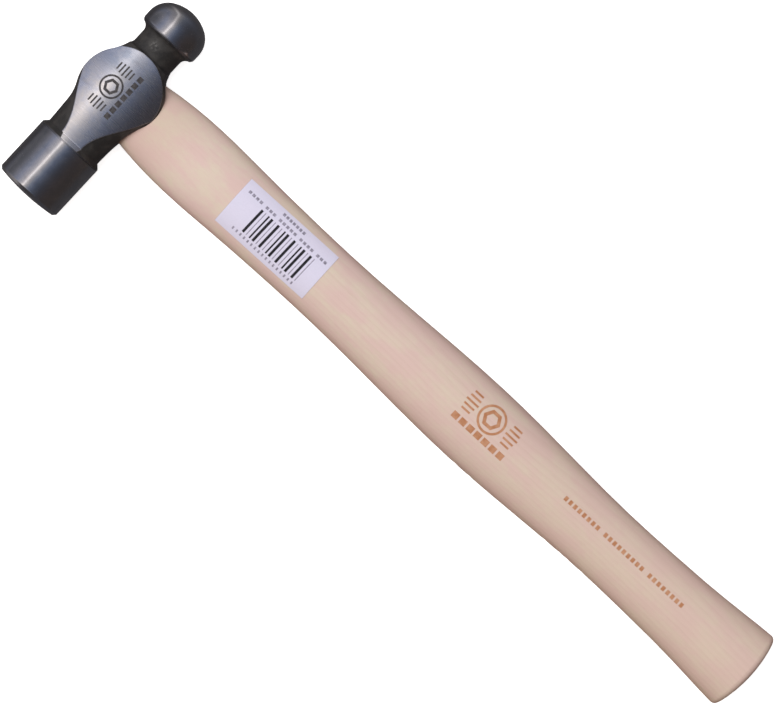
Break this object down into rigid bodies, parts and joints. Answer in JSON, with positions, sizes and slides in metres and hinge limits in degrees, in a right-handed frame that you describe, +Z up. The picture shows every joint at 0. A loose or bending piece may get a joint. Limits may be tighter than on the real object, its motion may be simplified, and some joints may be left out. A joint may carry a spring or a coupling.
{
  "type": "ball peen hammer",
  "caption": "Ball peen hammer with a steel head, round ball opposite a flat striking face, and an oval wooden handle wedged into the eye.",
  "frame": {"origin": "on the bench under the middle of the hammer's bounding box, the hammer lying on its side", "axes": "+X along the handle from the head to the grip end, +Y along the head from the striking face to the ball, +Z up from the bench"},
  "size_m": [0.3878, 0.106, 0.0325],
  "materials": {
    "head_steel": "ground bright on the poll, ball and cheeks, black forging scale on the necks",
    "handle_wood": "sanded, thin clear lacquer",
    "wedge_wood": "raw end grain",
    "wedge_steel": "plain, slightly dulled",
    "label_paper": "matt printed paper"
  },
  "bodies": {
    "root": {"head": "head_steel", "handle": "handle_wood", "wood_wedge": "wedge_wood", "steel_wedge_1": "wedge_steel", "steel_wedge_2": "wedge_steel", "paper_label": "label_paper"}
  },
  "joints": []
}
